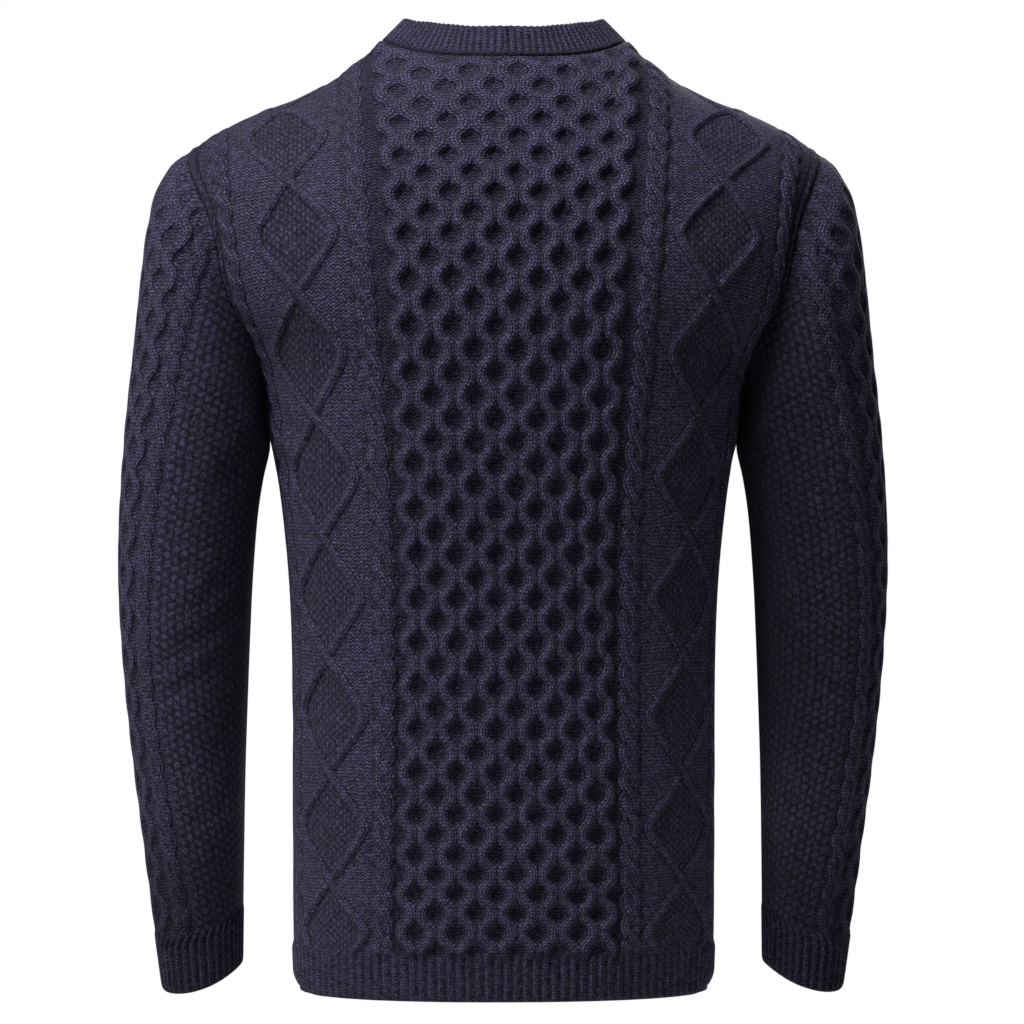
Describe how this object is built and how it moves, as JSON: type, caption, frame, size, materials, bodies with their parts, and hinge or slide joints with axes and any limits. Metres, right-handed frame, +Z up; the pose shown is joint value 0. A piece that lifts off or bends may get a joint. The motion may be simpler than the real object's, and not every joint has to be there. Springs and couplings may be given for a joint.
{
  "type": "aran sweater",
  "caption": "Crew-neck aran sweater with set-in sleeves, a honeycomb centre panel, rope cables, moss diamonds and ribbed edges, hollow and filled out as worn.",
  "frame": {"origin": "midway between the two side neck points, where the wearer's shoulders hold the garment up", "axes": "+Z up, -Y the way the wearer faces, +X the wearer's left-hand side"},
  "size_m": [0.5516, 0.2314, 0.6989],
  "materials": {
    "cabled_wool": "matt worsted wool in a dark indigo-grey melange, knitted in honeycomb, rope cables, moss and travelling ridges, softly hairy",
    "ribbed_wool": "the same yarn in a fine one-by-one rib, folded double"
  },
  "bodies": {
    "root": {"back": "cabled_wool", "front": "cabled_wool", "sleeve_left": "cabled_wool", "sleeve_right": "cabled_wool", "neckband": "ribbed_wool"}
  },
  "joints": []
}
